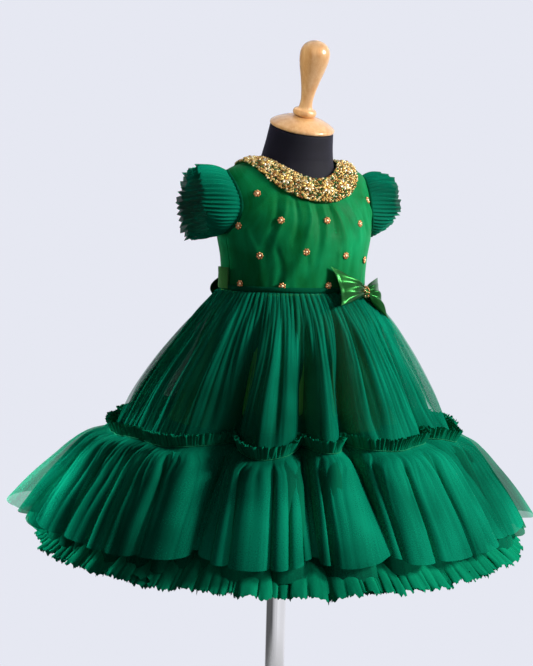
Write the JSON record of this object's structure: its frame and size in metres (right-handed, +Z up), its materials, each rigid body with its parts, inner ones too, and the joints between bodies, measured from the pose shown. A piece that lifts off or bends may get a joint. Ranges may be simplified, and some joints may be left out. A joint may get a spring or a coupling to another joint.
{
  "type": "ruffled dress on dress form",
  "caption": "Child's ruffled party dress in green net over satin, with a beaded neck band, cap sleeve ruffles and a waist bow, on a limbless dress form with pole and base.",
  "frame": {"origin": "centre of the underside of the stand's base, on the pole's axis", "axes": "+Z up, the dress's front faces -Y, the wearer's left is +X"},
  "size_m": [0.6502, 0.6432, 0.9744],
  "materials": {
    "green_net": "fine stiff net",
    "green_satin": "satin",
    "bodice_net": "net over satin",
    "gold_beads": "metal-coated beads",
    "black_jersey": "matt knit",
    "varnished_wood": "gloss varnish",
    "chrome": "polished",
    "base_metal": "satin"
  },
  "bodies": {
    "root": {"form_body": "black_jersey", "neck_cap": "varnished_wood", "cap_handle": "varnished_wood", "stand_pole": "chrome", "stand_base": "base_metal", "bodice_front": "bodice_net", "bodice_back_left": "bodice_net", "bodice_back_right": "bodice_net", "waist_strip": "bodice_net", "neck_band": "gold_beads", "front_bow_knot": "gold_beads", "bead_stud_01": "gold_beads", "bead_stud_02": "gold_beads", "bead_stud_03": "gold_beads", "bead_stud_04": "gold_beads", "bead_stud_05": "gold_beads", "bead_stud_06": "gold_beads", "bead_stud_07": "gold_beads", "bead_stud_08": "gold_beads", "bead_stud_09": "gold_beads", "bead_stud_10": "gold_beads", "bead_stud_11": "gold_beads", "bead_stud_12": "gold_beads", "bead_stud_13": "gold_beads", "bead_stud_14": "gold_beads", "bead_stud_15": "gold_beads", "bead_stud_16": "gold_beads", "bead_stud_17": "gold_beads", "bead_stud_18": "gold_beads", "bead_stud_19": "gold_beads", "bead_stud_20": "gold_beads", "bead_stud_21": "gold_beads", "sleeve_ruffle_left": "green_net", "sleeve_ruffle_right": "green_net", "upper_skirt": "green_net", "flounce": "green_net", "net_underskirt": "green_net", "satin_lining": "green_satin", "front_bow_wing_inner": "green_satin", "front_bow_wing_outer": "green_satin", "back_bow_loop_right": "green_satin", "back_bow_loop_left": "green_satin", "back_bow_knot": "green_satin", "sash_left": "green_satin", "sash_right": "green_satin", "sash_tail_left": "green_satin", "sash_tail_right": "green_satin"}
  },
  "joints": []
}
